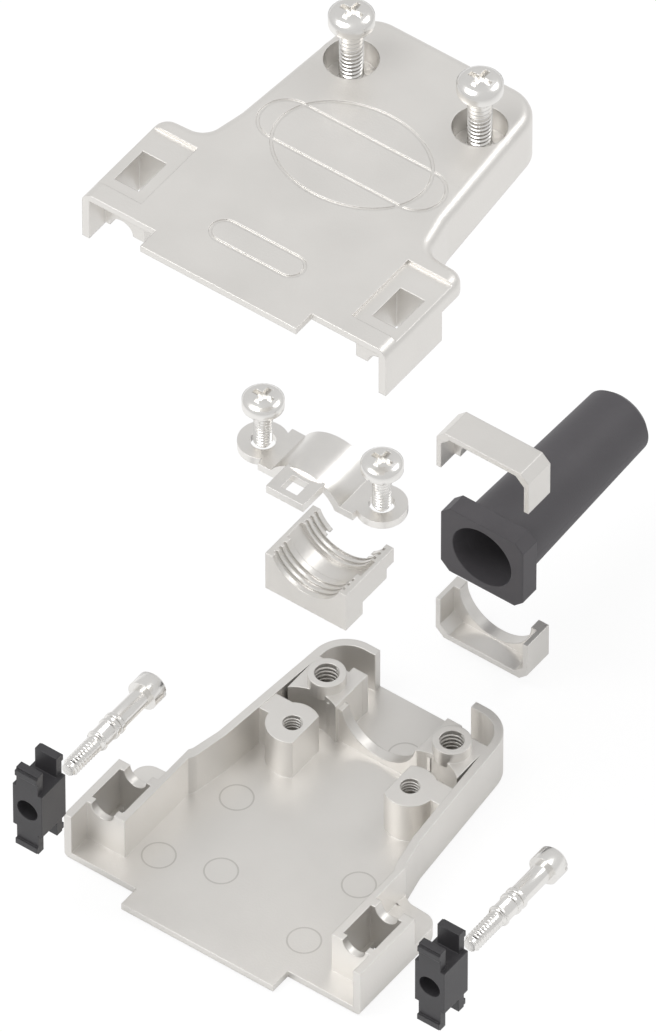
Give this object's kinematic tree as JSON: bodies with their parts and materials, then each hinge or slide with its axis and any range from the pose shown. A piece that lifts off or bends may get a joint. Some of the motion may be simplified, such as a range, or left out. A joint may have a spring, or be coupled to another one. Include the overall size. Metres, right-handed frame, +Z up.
{
  "type": "d-sub hood",
  "caption": "Taken-apart metal hood for a D-sub cable connector, with split shells, cable clamp, rubber boot and jackscrews in clips",
  "frame": {"origin": "on the flat underside of the lower shell, at the middle of its front edge", "axes": "+X across the hood towards the right ear, +Y from the connector to the cable, +Z up out of the lower shell"},
  "size_m": [0.0766, 0.1203, 0.1583],
  "materials": {
    "cast_shell": "satin plated casting",
    "plated_strap": "bright plated sheet",
    "plated_screw": "bright plated",
    "clip_plastic": "moulded",
    "boot_rubber": "smooth rubber"
  },
  "bodies": {
    "lower_shell": {"lower_shell": "cast_shell"},
    "upper_shell": {"upper_shell": "cast_shell"},
    "cover_screw_left": {"cover_screw_left": "plated_screw"},
    "cover_screw_right": {"cover_screw_right": "plated_screw"},
    "cable_strap": {"cable_strap": "plated_strap"},
    "strap_screw_left": {"strap_screw_left": "plated_screw"},
    "strap_screw_right": {"strap_screw_right": "plated_screw"},
    "cable_saddle": {"cable_saddle": "cast_shell"},
    "gland_half_lower": {"gland_half_lower": "cast_shell"},
    "gland_half_upper": {"gland_half_upper": "cast_shell"},
    "cable_boot": {"cable_boot": "boot_rubber"},
    "jackscrew_left": {"jackscrew_left": "plated_screw"},
    "jackscrew_right": {"jackscrew_right": "plated_screw"},
    "screw_clip_left": {"screw_clip_left": "clip_plastic"},
    "screw_clip_right": {"screw_clip_right": "clip_plastic"}
  },
  "joints": [
    {"name": "close", "type": "slide", "parent": "lower_shell", "child": "upper_shell", "axis": [-0.0347, 0, -0.9994], "range_m": [0, 0.12978]},
    {"name": "fasten", "type": "slide", "parent": "upper_shell", "child": "cover_screw_left", "axis": [0, 0, -1], "range_m": [0, 0.012]},
    {"name": "fasten_right", "type": "slide", "parent": "upper_shell", "child": "cover_screw_right", "axis": [0, 0, -1], "range_m": [0, 0.012]},
    {"name": "seat_strap", "type": "slide", "parent": "lower_shell", "child": "cable_strap", "axis": [0.0929, 0, -0.9957], "range_m": [0, 0.05815]},
    {"name": "seat_strap_screw_left", "type": "slide", "parent": "cable_strap", "child": "strap_screw_left", "axis": [0, 0, -1], "range_m": [0, 0.0075]},
    {"name": "seat_strap_screw_right", "type": "slide", "parent": "cable_strap", "child": "strap_screw_right", "axis": [0, 0, -1], "range_m": [0, 0.0075]},
    {"name": "seat_saddle", "type": "slide", "parent": "lower_shell", "child": "cable_saddle", "axis": [0.0926, 0, -0.9957], "range_m": [0, 0.04319]},
    {"name": "seat_gland", "type": "slide", "parent": "lower_shell", "child": "gland_half_lower", "axis": [0, -1, 0], "range_m": [0, 0.019]},
    {"name": "seat_boot", "type": "slide", "parent": "gland_half_lower", "child": "cable_boot", "axis": [0, 0, -1], "range_m": [0, 0.0145]},
    {"name": "seat_gland_upper", "type": "slide", "parent": "gland_half_lower", "child": "gland_half_upper", "axis": [0, 0, -1], "range_m": [0, 0.0295]},
    {"name": "seat_jackscrews", "type": "slide", "parent": "lower_shell", "child": "jackscrew_left", "axis": [0, 0, -1], "range_m": [0, 0.0165]},
    {"name": "line_up", "type": "slide", "parent": "jackscrew_left", "child": "jackscrew_right", "axis": [-0.9568, -0.2908, 0], "range_m": [0, 0.02373]},
    {"name": "thread_clip_left", "type": "slide", "parent": "jackscrew_left", "child": "screw_clip_left", "axis": [0, 1, 0], "range_m": [0, 0.0206]},
    {"name": "thread_clip_right", "type": "slide", "parent": "jackscrew_right", "child": "screw_clip_right", "axis": [0, 1, 0], "range_m": [0, 0.0206]}
  ],
  "couplings": [
    {"joint": "fasten_right", "follows": "fasten", "ratio": 1},
    {"joint": "seat_strap", "follows": "close", "ratio": 0.44808},
    {"joint": "seat_strap_screw_left", "follows": "close", "ratio": 0.057791},
    {"joint": "seat_strap_screw_right", "follows": "close", "ratio": 0.057791},
    {"joint": "seat_saddle", "follows": "close", "ratio": 0.33277},
    {"joint": "seat_gland", "follows": "close", "ratio": 0.1464},
    {"joint": "seat_boot", "follows": "close", "ratio": 0.11173},
    {"joint": "seat_gland_upper", "follows": "close", "ratio": 0.22731},
    {"joint": "seat_jackscrews", "follows": "close", "ratio": 0.12714},
    {"joint": "thread_clip_left", "follows": "line_up", "ratio": 0.86826},
    {"joint": "thread_clip_right", "follows": "line_up", "ratio": 0.86826}
  ]
}
